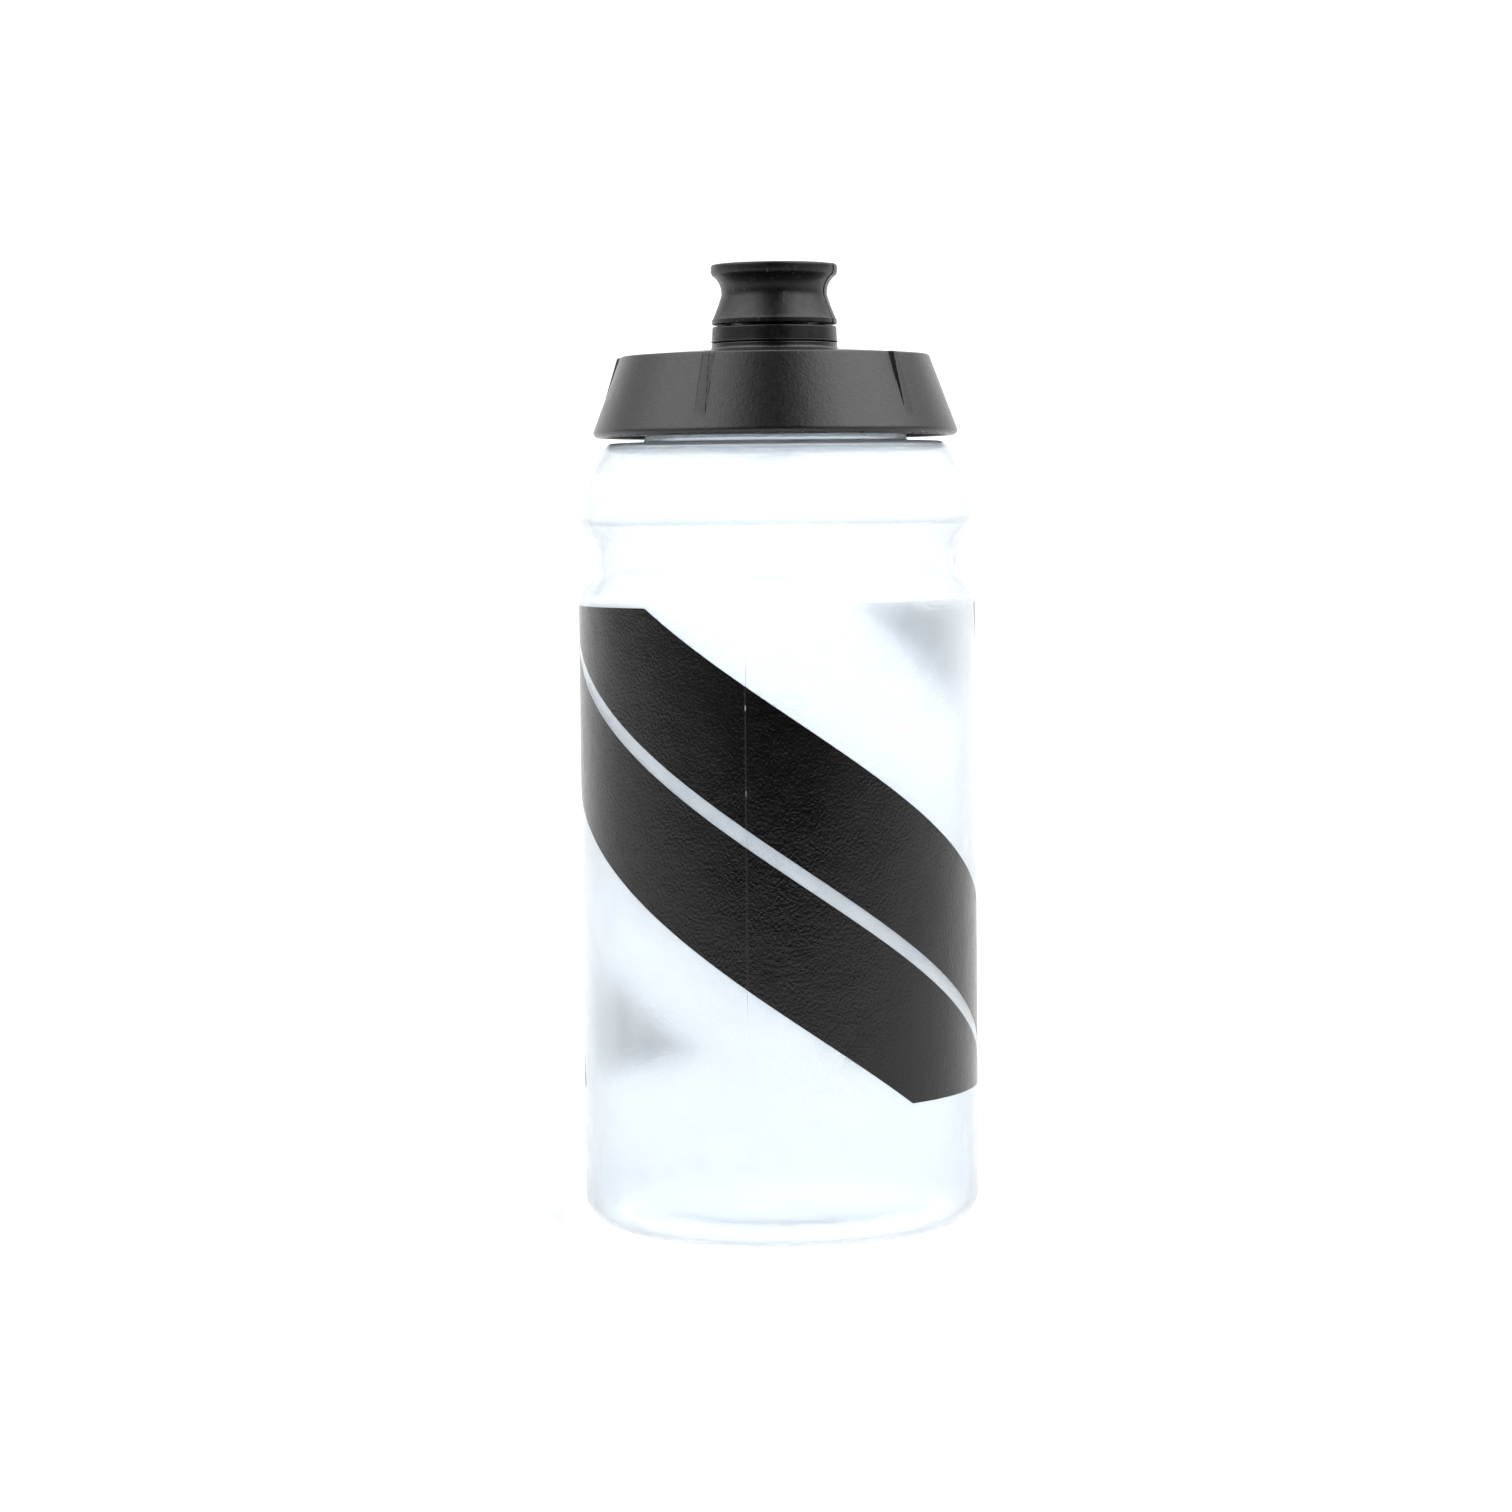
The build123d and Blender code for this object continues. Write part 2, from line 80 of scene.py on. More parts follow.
# Bottle
SKIN_R = BARREL_R - SKIN_INSET
WALL = 1.0
PUNT_R = 24.6  # the raised middle of the foot
PUNT_Z = 2.4
PUNT_TOP_Z = 4.4
PUNT_ROUND_R = 152.0
FOOT_IN_R = 27.2
FOOT_ROUND_R = 5.15
GROOVE_Z = 116.2  # the groove that the cage's tab catches, from edge to edge
GROOVE_FLOOR_Z = 120.4
GROOVE_FLOOR_TOP_Z = 125.4
GROOVE_TOP_Z = 129.6
GROOVE_R = 33.3
GROOVE_ROUND_R = 2.7
UPPER_R = SKIN_R - 0.3  # the short barrel above the groove
SHOULDER_Z = 138.9
SHOULDER_ROUND_R = 14.5
SHOULDER_RIM_R = 31.7
SHOULDER_TOP_R = 30.6
SHOULDER_TOP_Z = MOUTH_Z - 12.8
SHOULDER_FALL = 0.15  # the shoulder's flat top falls this much to its rim
MOUTH_R = 22.4

# Moulding lines
BOTTLE_PARTING = math.radians(-9)
PARTING_WIDTH = 0.16
PARTING_HEIGHT = 0.06
NOZZLE_PARTING = math.radians(69)
NOZZLE_GROOVE_WIDTH = 0.34
NOZZLE_GROOVE_DEPTH = 0.3
GROOVE_INNER_R = 8.7
NOZZLE_STEP = 0.035  # between the two halves of the grip's mould

# The print: a pair of stripes that fall from left to right across the front and across
# the back, and so fold at both sides; two corner flashes on the back. All are cut level
# at the print's top and foot.
PRINT_Z = 25.3
PRINT_TOP_Z = 114.6
STRIPE_FALL = 0.69  # for each millimetre round the barrel
STRIPE_GAP = 3.2
STRIPE_SPAN = 54.0  # height of the pair with its gap
STRIPE_SAG = 7.5  # how much lower the pair runs at the middle of the back
FLASH_START = 15.5  # distances from the middle of the back, measured round the barrel
FLASH_END = 64.0
FLASH_CUT = 1.6  # how steep a flash's shorter edge is
FLASH_TIP = 0.6  # a flash stops this far short of its corners

# Lid
LID_EDGE = 1.05  # height of the rounded edge under the cone
LID_TOP_Z = BOSS_Z - 2.4
LID_TOP_R = LID_R - 5.18
SKIRT_WALL = 1.9
DECK_SLOPE_R = 27.2  # the deck starts to rise here
DECK_RISE = 1.05
BOSS_R = 11.6
HOLE_R = 9.5
SEAT_STEP_R = 20.6
SEAT_R = 21.4
SEAT_Z = BOSS_Z - 3.95  # the face that the gasket sits against
DECK_UNDER_Z = BOSS_Z - 3.05
RIB_COUNT = 5
RIB_AZIMUTH = math.radians(-24.3)
RIB_HEIGHT = 0.88  # along the radius; the crest runs out into the cone below
RIB_FADE_Z = LID_TOP_Z - 11.35
RIB_HALF_BASE = 1.15
RIB_SPLAY = 0.72  # how much wider a rib's foot gets for each millimetre of its height
RIB_SOFTNESS = 0.07

# One-start right-hand thread
LEAD = 5.0
THREAD_HEIGHT = 1.05
THREAD_SINK = 0.3
THREAD_FOOT = 1.14  # half the width of the ridge where it leaves its wall
THREAD_CREST = 0.5
NECK_R = 24.2
LID_WALL_R = 25.6


# ---------------------------------------------------------------- outlines


def turned(point, centre, angle):
    """point turned round centre."""
    dr, dz = point[0] - centre[0], point[1] - centre[1]
    c, s = math.cos(angle), math.sin(angle)
    return (centre[0] + c * dr - s * dz, centre[1] + s * dr + c * dz)


def arc(centre, radius, start, end, step):
    """Points of an arc in the (r, z) plane, from the angle start to the angle end."""
    count = max(2, math.ceil(abs(end - start) / step))
    return [
        turned((centre[0] + radius, centre[1]), centre, start + (end - start) * i / count)
        for i in range(count + 1)
    ]


def arc_through(a, b, c, count):
    """Points of the arc from a through b to c."""
    a, b, c = Vector(a), Vector(b), Vector(c)
    ab, ac = b - a, c - a
    normal = 2 * ab.cross(ac)
    dr = (ac.y * ab.length_squared - ab.y * ac.length_squared) / normal
    dz = (ab.x * ac.length_squared - ac.x * ab.length_squared) / normal
    centre = a + Vector((dr, dz))
    sweep = (c - centre).angle_signed(a - centre)
    return [turned(a, centre, sweep * k / count) for k in range(count + 1)]


def rounded(corners, step=math.radians(9)):
    """The outline through some corners. A corner (r, z, radius) is rounded by an arc."""
    points = []
    for i, corner in enumerate(corners):
        here = Vector(corner[:2])
        if len(corner) == 2:
            points.append(tuple(here))
            continue
        before = (Vector(corners[i - 1][:2]) - here).normalized()
        after = (Vector(corners[(i + 1) % len(corners)][:2]) - here).normalized()
        half = before.angle(after) / 2
        reach = corner[2] / math.tan(half)
        centre = here + (before + after).normalized() * (corner[2] / math.sin(half))
        first = here + before * reach
        sweep = math.pi - 2 * half
        if before.cross(after) > 0:
            sweep = -sweep
        count = max(2, math.ceil(abs(sweep) / step))
        points += [turned(first, centre, sweep * k / count) for k in range(count + 1)]
    return points


def divided(points, longest):
    """The same outline with no stretch longer than longest."""
    result = [points[0]]
    for a, b in zip(points, points[1:]):
        count = max(1, math.ceil(math.dist(a, b) / longest))
        for k in range(1, count + 1):
            t = k / count
            result.append((a[0] + (b[0] - a[0]) * t, a[1] + (b[1] - a[1]) * t))
    return result


# ---------------------------------------------------------------- meshes


def azimuths(count, fine_at, fine_reach, fine_step):
    """Azimuths of a full turn, evenly spaced, and closer together round fine_at."""
    result = []
    for i in range(count):
        a = 2 * math.pi * i / count
        gaps = [abs(math.remainder(a - f, 2 * math.pi)) for f in fine_at]
        if min(gaps) > fine_reach + math.pi / count / 2:
            result.append(a)
    steps = round(fine_reach / fine_step)
    for f in fine_at:
        result += [(f + k * fine_step) % (2 * math.pi) for k in range(-steps, steps + 1)]
    return sorted(result)


def at(r, z, azimuth):
    """A point in metres."""
    return (r * math.sin(azimuth) * MM, -r * math.cos(azimuth) * MM, z * MM)


def no_relief(r, z, azimuth):
    """A plain surface."""
    return 0.0, 0.0


def lathe(sections, turn):
    """Vertices and faces of a closed solid of revolution.

    sections is a list of (outline, relief): the outlines follow on from each other and
    go anticlockwise in the (r, z) plane, and relief(r, z, azimuth) is how far a point
    moves along the outline's normal and along the radius.
    """
    outline = [(r, z, relief) for points, relief in sections for r, z in points]
    vertices, rows = [], []
    for i, (r, z, relief) in enumerate(outline):
        before, after = outline[i - 1], outline[(i + 1) % len(outline)]
        along = Vector((after[0] - before[0], after[1] - before[1])).normalized()
        if r < 1e-6:
            rows.append([len(vertices)] * len(turn))
            vertices.append(at(0, z, 0))
            continue
        rows.append(range(len(vertices), len(vertices) + len(turn)))
        for azimuth in turn:
            out, away = relief(r, z, azimuth)
            vertices.append(at(r + along.y * out + away, z - along.x * out, azimuth))
    faces = []
    for low, high in zip(rows, rows[1:] + rows[:1]):
        for j in range(len(turn)):
            k = (j + 1) % len(turn)
            face = list(dict.fromkeys([low[j], low[k], high[k], high[j]]))
            if len(face) > 2:
                faces.append(face)
    return vertices, faces


def thread_ridge(root_r, outward, start_z, start, turns):
    """Vertices and faces of a right-hand thread ridge whose ends run out into its wall."""
    stations_per_turn = 72
    count = round(stations_per_turn * turns)
    fade = 5  # stations over which an end runs out
    vertices, faces = [], []
    for i in range(count + 1):
        azimuth = start + 2 * math.pi * turns * i / count
        z = start_z + LEAD * turns * i / count
        share = min(1.0, (i + 0.2) / fade, (count - i + 0.2) / fade)
        crest = root_r + outward * (THREAD_HEIGHT * share - (1 - share) * THREAD_SINK)
        foot = root_r - outward * THREAD_SINK * 1.5
        vertices += [
            at(foot, z - THREAD_FOOT, azimuth),
            at(crest, z - THREAD_CREST, azimuth),
            at(crest, z + THREAD_CREST, azimuth),
            at(foot, z + THREAD_FOOT, azimuth),
        ]
    for i in range(count):
        for k in range(4):
            a, b = 4 * i + k, 4 * i + (k + 1) % 4
            face = [a, a + 4, b + 4, b]
            faces.append(face if outward > 0 else face[::-1])
    ends = [[0, 1, 2, 3], [4 * count + k for k in (3, 2, 1, 0)]]
    faces += ends if outward > 0 else [end[::-1] for end in ends]
    return vertices, faces


def make_piece(name, shapes, body, material, replaces=(), crease=35):
    """A mesh piece made of some (vertices, faces) shapes, riding on a CAD body."""
    vertices, faces = [], []
    for some_vertices, some_faces in shapes:
        first = len(vertices)
        vertices += some_vertices
        faces += [[first + v for v in face] for face in some_faces]
    mesh = bpy.data.meshes.new(name)
    mesh.from_pydata(vertices, [], faces)
    mesh.shade_smooth()
    mesh.set_sharp_from_angle(angle=math.radians(crease))
    mesh.materials.append(material)
    piece = bpy.data.objects.new(name, mesh)
    bpy.context.scene.collection.objects.link(piece)
    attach(piece, body)
    if replaces:
        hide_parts(*replaces)
    return piece


# ---------------------------------------------------------------- materials


class Nodes:
    """A node tree, with the few kinds of node that it is built from."""

    def __init__(self, owner):
        owner.use_nodes = True
        self.tree = owner.node_tree

    def add(self, kind, **settings):
        node = self.tree.nodes.new(kind)
        for key, value in settings.items():
            setattr(node, key, value)
        return node

    def link(self, output, node, socket):
        self.tree.links.new(output, node.inputs[socket])

    def maths(self, operation, a, b):
        node = self.add("ShaderNodeMath", operation=operation)
        for i, value in enumerate((a, b)):
            if isinstance(value, (int, float)):
                node.inputs[i].default_value = value
            else:
                self.tree.links.new(value, node.inputs[i])
        return node.outputs[0]

    def product(self, *values):
        result = values[0]
        for value in values[1:]:
            result = self.maths("MULTIPLY", result, value)
        return result

    def spread(self, value, low, high, to_low=0.0, to_high=1.0):
        """value between low and high, mapped to the range to_low to to_high."""
        node = self.add("ShaderNodeMapRange", interpolation_type="SMOOTHSTEP")
        for socket, number in zip(
            ("From Min", "From Max", "To Min", "To Max"), (low, high, to_low, to_high)
        ):
            node.inputs[socket].default_value = number
        self.link(value, node, "Value")
        return node.outputs["Result"]

    def colours(self, value, first, second):
        """A colour between first and second, by value."""
        node = self.add("ShaderNodeMix", data_type="RGBA")
        self.link(value, node, "Factor")
        # Inputs 6 and 7 and output 2 are this node's colours.
        for socket, colour in ((6, first), (7, second)):
            if isinstance(colour, tuple):
                node.inputs[socket].default_value = (*colour, 1)
            else:
                self.tree.links.new(colour, node.inputs[socket])
        return node.outputs[2]


class Surface(Nodes):
    """A material, with its patterns in the model's own coordinates."""

    def __init__(self, name, **values):
        self.material = bpy.data.materials.new(name)
        super().__init__(self.material)
        self.shader = self.tree.nodes["Principled BSDF"]
        self.place = self.add("ShaderNodeTexCoord").outputs["Object"]
        for socket, value in values.items():
            self.shader.inputs[socket.replace("_", " ")].default_value = value

    def noise(self, grain, detail=3.0, roughness=0.55, stretch=(1, 1, 1), warp=0.0):
        """Noise with grains about this size, in metres, stretched along each axis."""
        mapping = self.add("ShaderNodeMapping")
        mapping.inputs["Scale"].default_value = [1 / grain / s for s in stretch]
        self.link(self.place, mapping, "Vector")
        node = self.add("ShaderNodeTexNoise")
        node.inputs["Scale"].default_value = 1.0
        node.inputs["Detail"].default_value = detail
        node.inputs["Roughness"].default_value = roughness
        node.inputs["Distortion"].default_value = warp
        self.link(mapping.outputs[0], node, "Vector")
        return node.outputs["Fac"]

    def specks(self, spacing, size, share):
        """1 inside sparse round specks, about this size and spacing in metres."""
        node = self.add("ShaderNodeTexVoronoi")
        node.inputs["Scale"].default_value = 1 / spacing
        self.link(self.place, node, "Vector")
        near = self.maths("LESS_THAN", node.outputs["Distance"], size / spacing)
        pick = self.add("ShaderNodeSeparateColor")
        self.link(node.outputs["Color"], pick, "Color")
        chosen = self.maths("LESS_THAN", pick.outputs[0], share)
        return self.product(near, chosen)

    def paint(self, colour):
        self.link(colour, self.shader, "Base Color")

    def polish(self, value):
        self.link(value, self.shader, "Roughness")

    def bumps(self, *layers):
        """Bump layers, each a pattern with its height in metres."""
        normal = None
        for pattern, height in layers:
            node = self.add("ShaderNodeBump")
            node.inputs["Strength"].default_value = 1.0
            node.inputs["Distance"].default_value = height
            self.link(pattern, node, "Height")
            if normal is not None:
                self.link(normal, node, "Normal")
            normal = node.outputs[0]
        self.link(normal, self.shader, "Normal")


def bottle_plastic():
    """Milky translucent polyethylene: cloudy, satin, with a faint moulding texture."""
    s = Surface("bottle_plastic", Transmission_Weight=0.82, IOR=1.5)
    cloud = s.spread(s.noise(14e-3, detail=2), 0.35, 0.65)
    s.paint(s.colours(cloud, (0.862, 0.912, 0.952), (0.892, 0.932, 0.962)))
    s.polish(s.spread(s.noise(5e-3), 0.3, 0.7, 0.19, 0.26))
    peel = s.noise(1.0e-3, detail=2, stretch=(1.3, 1.3, 0.6))
    s.bumps((peel, 0.03e-3), (s.noise(9e-3, detail=1), 0.12e-3))
    return s.material


def print_ink():
    """Black screen ink with the fine orange peel of the plastic under it."""
    s = Surface("print_ink", IOR=1.42)
    tone = s.spread(s.noise(9e-3, detail=2), 0.35, 0.65)
    black = s.colours(tone, (0.0018, 0.0018, 0.002), (0.0032, 0.0032, 0.0034))
    dust = s.specks(7e-3, 0.11e-3, 0.16)
    black = s.colours(dust, black, (0.30, 0.28, 0.24))
    # Along the parting ridge: short pale dashes where the ink is rubbed off, over a faint
    # painted highlight all along the ridge.
    split = s.add("ShaderNodeSeparateXYZ")
    s.link(s.place, split, 0)
    aside = s.maths("SUBTRACT", split.outputs["X"], BARREL_R * MM * math.sin(BOTTLE_PARTING))
    ridge = s.spread(s.maths("ABSOLUTE", aside, 0), 0.03e-3, 0.14e-3, 1, 0)
    worn_and_highlight = s.spread(s.noise(4e-3, detail=1, stretch=(9, 9, 1)), 0.6, 0.7, 0.03, 1)
    s.paint(s.colours(s.product(ridge, worn_and_highlight), black, (0.55, 0.54, 0.5)))
    s.polish(s.spread(s.noise(2.5e-3), 0.3, 0.7, 0.17, 0.23))
    peel = s.noise(0.48e-3, detail=2, stretch=(0.8, 0.8, 1.25), warp=0.15)
    s.bumps((peel, 0.065e-3), (s.noise(6e-3, detail=1), 0.08e-3))
    return s.material


def lid_plastic():
    """Black polypropylene with a fine spark-eroded grain and a little shop wear."""
    s = Surface("lid_plastic", IOR=1.49)
    grain = s.noise(0.52e-3, detail=4, roughness=0.7)
    patch = s.spread(s.noise(7e-3, detail=3), 0.35, 0.7)
    black = s.colours(patch, (0.001, 0.001, 0.001), (0.0024, 0.0024, 0.0022))
    speckle = s.spread(grain, 0.52, 0.72)
    black = s.colours(speckle, black, (0.008, 0.0077, 0.0071))
    dust = s.specks(9e-3, 0.13e-3, 0.2)
    s.paint(s.colours(dust, black, (0.22, 0.21, 0.19)))
    s.polish(s.spread(s.noise(1.6e-3, detail=4), 0.3, 0.7, 0.27, 0.31))
    s.bumps((grain, 0.06e-3), (s.noise(5e-3, detail=1), 0.03e-3))
    return s.material


def housing_plastic():
    """The same black plastic as the lid, smoother and a little mottled."""
    s = Surface("housing_plastic", IOR=1.42)
    mottle = s.spread(s.noise(1.4e-3, detail=4), 0.4, 0.66)
    s.paint(s.colours(mottle, (0.0015, 0.0015, 0.0016), (0.004, 0.004, 0.0042)))
    s.polish(s.spread(s.noise(0.9e-3, detail=4), 0.3, 0.7, 0.28, 0.46))
    s.bumps((s.noise(0.5e-3, detail=3), 0.02e-3))
    return s.material


def nozzle_rubber():
    """Charcoal thermoplastic rubber: satin, scuffed in a few places at the waist."""
    s = Surface("nozzle_rubber", IOR=1.42)
    patch = s.spread(s.noise(3e-3, detail=3), 0.35, 0.7)
    black = s.colours(patch, (0.0014, 0.0014, 0.0015), (0.003, 0.003, 0.0032))
    scratch = s.noise(1.1e-3, detail=5, roughness=0.8, stretch=(0.5, 0.5, 2.4))
    region = s.spread(s.noise(3.4e-3, detail=1), 0.5, 0.6)
    scuff = s.product(s.spread(scratch, 0.56, 0.66), region)
    s.paint(s.colours(scuff, black, (0.075, 0.075, 0.075)))
    s.polish(s.spread(s.noise(1.2e-3, detail=3), 0.3, 0.7, 0.33, 0.42))
    s.bumps((s.noise(0.3e-3, detail=3), 0.016e-3), (scuff, 0.02e-3))
    return s.material


def core_plastic():
    """Hard black plastic of the nozzle's core, with faint turning lines."""
    s = Surface("core_plastic", IOR=1.5)
    tone = s.noise(2e-3, detail=2)
    s.paint(s.colours(tone, (0.016, 0.016, 0.017), (0.028, 0.028, 0.029)))
    s.polish(s.spread(tone, 0.3, 0.7, 0.24, 0.36))
    s.bumps((s.noise(0.4e-3, stretch=(4, 4, 0.5)), 0.01e-3))
    return s.material


def seal_rubber():
    """Dark grey nitrile rubber with a dusty bloom."""
    s = Surface("seal_rubber", IOR=1.52)
    bloom = s.spread(s.noise(1.8e-3, detail=4), 0.35, 0.7)
    s.paint(s.colours(bloom, (0.03, 0.03, 0.031), (0.065, 0.065, 0.064)))
    s.polish(s.spread(bloom, 0.0, 1.0, 0.5, 0.72))
    s.bumps((s.noise(0.25e-3), 0.012e-3))
    return s.material


def membrane_silicone():
    """Milky silicone."""
    s = Surface("membrane_silicone", IOR=1.42, Subsurface_Weight=0.3)
    s.shader.inputs["Subsurface Scale"].default_value = 2e-3
    tone = s.noise(2.5e-3, detail=2)
    s.paint(s.colours(tone, (0.72, 0.75, 0.77), (0.84, 0.86, 0.87)))
    s.polish(s.spread(tone, 0.3, 0.7, 0.36, 0.5))
    s.bumps((s.noise(0.6e-3), 0.01e-3))
    return s.material


materials = {
    make.__name__: make()
    for make in (
        bottle_plastic,
        print_ink,
        lid_plastic,
        housing_plastic,
        nozzle_rubber,
        core_plastic,
        seal_rubber,
        membrane_silicone,
    )
}


# ---------------------------------------------------------------- bottle


def parting_height(r, azimuth, parting):
    """Height of the fine ridge that a two-part mould leaves on a round surface."""
    gap = abs(r * math.sin(azimuth - parting)) / PARTING_WIDTH
    return PARTING_HEIGHT * max(0.0, 1 - gap * gap)


def bottle_relief(r, z, azimuth):
    """The parting line, which runs out at the foot and at the mouth."""
    fade = min(1.0, z, MOUTH_Z - z)
    return parting_height(r, azimuth, BOTTLE_PARTING) * max(0.0, fade), 0.0


def make_bottle(turn):
    """The hollow bottle, with the thread on its neck."""
    punt_mid_r = PUNT_R / 2 + 0.1
    outside = rounded(
        [
            (0, PUNT_TOP_Z),
            (punt_mid_r, PUNT_TOP_Z, PUNT_ROUND_R),
            (PUNT_R, PUNT_Z, 1.5),
            (FOOT_IN_R, 0, 1.2),
            (SKIN_R, 0, FOOT_ROUND_R),
            (SKIN_R, GROOVE_Z, GROOVE_ROUND_R),
            (GROOVE_R, GROOVE_FLOOR_Z, GROOVE_ROUND_R),
            (GROOVE_R, GROOVE_FLOOR_TOP_Z, GROOVE_ROUND_R),
            (UPPER_R, GROOVE_TOP_Z, GROOVE_ROUND_R),
            (UPPER_R, SHOULDER_Z, SHOULDER_ROUND_R),
            (SHOULDER_RIM_R, SHOULDER_TOP_Z - 1.1, 0.7),
            (SHOULDER_TOP_R, SHOULDER_TOP_Z - SHOULDER_FALL, 0.7),
            (NECK_R, SHOULDER_TOP_Z, 0.6),
            (NECK_R, MOUTH_Z, 0.4),
            (MOUTH_R, MOUTH_Z, 0.4),
            (MOUTH_R, MOUTH_Z - 3),
        ]
    )
    # The same outline, drawn in by the wall. A corner beside a slant also slips along
    # the straight on its other side.
    slip = 0.4
    ceiling_z = SHOULDER_TOP_Z - WALL
    inside = rounded(
        [
            (MOUTH_R, MOUTH_Z - 5),
            (MOUTH_R, ceiling_z, 0.5),
            (SHOULDER_TOP_R - slip, ceiling_z - SHOULDER_FALL, 0.5),
            (SHOULDER_RIM_R - 0.7, ceiling_z - 0.85, 0.4),
            (UPPER_R - WALL, SHOULDER_Z - slip, SHOULDER_ROUND_R - WALL),
            (UPPER_R - WALL, GROOVE_TOP_Z + 0.5, GROOVE_ROUND_R - WALL),
            (GROOVE_R - WALL, GROOVE_FLOOR_TOP_Z + slip, GROOVE_ROUND_R + WALL),
            (GROOVE_R - WALL, GROOVE_FLOOR_Z - slip, GROOVE_ROUND_R + WALL),
            (SKIN_R - WALL, GROOVE_Z - slip, GROOVE_ROUND_R - WALL),
            (SKIN_R - WALL, WALL, FOOT_ROUND_R - WALL),
            (FOOT_IN_R + 0.5, WALL, 1.5),
            (PUNT_R + 0.5, PUNT_Z + WALL, 1.5),
            (punt_mid_r, PUNT_TOP_Z + WALL, PUNT_ROUND_R),
            (0, PUNT_TOP_Z + WALL),
        ]
    )
    neck_thread = thread_ridge(
        NECK_R, outward=1, start_z=MOUTH_Z - 8.6, start=math.radians(115), turns=1.25
    )
    shell = lathe([(outside, bottle_relief), (inside, no_relief)], turn)
    return make_piece(
        "bottle",
        [shell, neck_thread],
        "bottle",
        materials["bottle_plastic"],
        replaces=["bottle_body"],
    )


def print_fold(azimuth):
    """How far the print has fallen at an azimuth, against the middle of the front."""
    a = math.remainder(azimuth, 2 * math.pi)
    if abs(a) > math.pi / 2:
        a = math.copysign(math.pi, a) - a
    sag = STRIPE_SAG * max(0.0, -math.cos(azimuth))
    return STRIPE_FALL * SKIN_R * a + sag


def flash_height(azimuth):
    """Height of a corner flash, which has one long edge and one steep edge."""
    distance = abs(math.pi - azimuth) * BARREL_R
    return min(STRIPE_FALL * (distance - FLASH_START), FLASH_CUT * (FLASH_END - distance))


def ink_sheet(edges, turn, closed):
    """A sheet of ink on the barrel, between the two heights that edges(azimuth) gives."""
    vertices, faces = [], []
    for azimuth in turn:
        low_z, high_z = edges(azimuth)
        under = SKIN_R + INK_LIFT + parting_height(BARREL_R, azimuth, BOTTLE_PARTING)
        for r, z in (
            (under, low_z),
            (under + INK_THICKNESS, low_z),
            (under + INK_THICKNESS, high_z),
            (under, high_z),
        ):
            vertices.append(at(r, z, azimuth))
    count = len(turn)
    for i in range(count if closed else count - 1):
        here, there = 4 * i, 4 * ((i + 1) % count)
        for k in range(4):
            n = (k + 1) % 4
            faces.append([here + k, there + k, there + n, here + n])
    if not closed:
        last = 4 * count - 4
        faces += [[0, 1, 2, 3], [last + 3, last + 2, last + 1, last]]
    return vertices, faces


def stripe(low, high, turn):
    """A stripe that runs all round. low and high are its edges at the middle of the front."""

    def edges(azimuth):
        fall = print_fold(azimuth)
        return max(PRINT_Z, low - fall), min(PRINT_TOP_Z, high - fall)

    columns = set(turn)
    quarter = print_fold(math.pi / 2)
    for corner in (low - PRINT_Z, high - PRINT_TOP_Z):
        a = corner / quarter * math.pi / 2
        if abs(a) < math.pi / 2:
            columns.add(a % (2 * math.pi))
    return ink_sheet(edges, sorted(columns), closed=True)


def flash(side, turn):
    """A corner flash: at the print's top on the right, or at its foot on the left."""

    def edges(azimuth):
        height = flash_height(azimuth)
        if side > 0:
            return PRINT_TOP_Z - height, PRINT_TOP_Z
        return PRINT_Z, PRINT_Z + height

    corner = (STRIPE_FALL * FLASH_START + FLASH_CUT * FLASH_END) / (STRIPE_FALL + FLASH_CUT)
    near, tip, far = (
        math.pi - side * distance / BARREL_R
        for distance in (FLASH_START + FLASH_TIP, corner, FLASH_END - FLASH_TIP)
    )
    first, last = min(near, far), max(near, far)
    columns = {first, tip, last} | {a for a in turn if first < a < last}
    return ink_sheet(edges, sorted(columns), closed=False)


def make_print(turn):
    """All the ink, as one piece that rides on the bottle."""
    middle = (PRINT_Z + PRINT_TOP_Z) / 2
    inner, outer = STRIPE_GAP / 2, STRIPE_SPAN / 2
    sheets = [
        stripe(middle + inner, middle + outer, turn),
        stripe(middle - outer, middle - inner, turn),
        flash(1, turn),
        flash(-1, turn),
    ]
    return make_piece("print", sheets, "bottle", materials["print_ink"])


# ---------------------------------------------------------------- lid


def soft_least(a, b, softness):
    """The lesser of two numbers, with the corner between them rounded."""
    h = max(softness - abs(a - b), 0.0) / softness
    return min(a, b) - h * h * softness / 4


def rib_relief(r, z, azimuth):
    """How far a grip rib stands out from the lid's cone."""
    step = 2 * math.pi / RIB_COUNT
    aside = abs(r * math.sin(math.remainder(azimuth - RIB_AZIMUTH, step)))
    flank = (RIB_HALF_BASE - aside) / RIB_SPLAY
    crest = RIB_HEIGHT * (z - RIB_FADE_Z) / (LID_TOP_Z - RIB_FADE_Z)
    height = soft_least(flank, crest, RIB_SOFTNESS)
    return 0.0, -soft_least(-height, 0.0, RIB_SOFTNESS / 2)


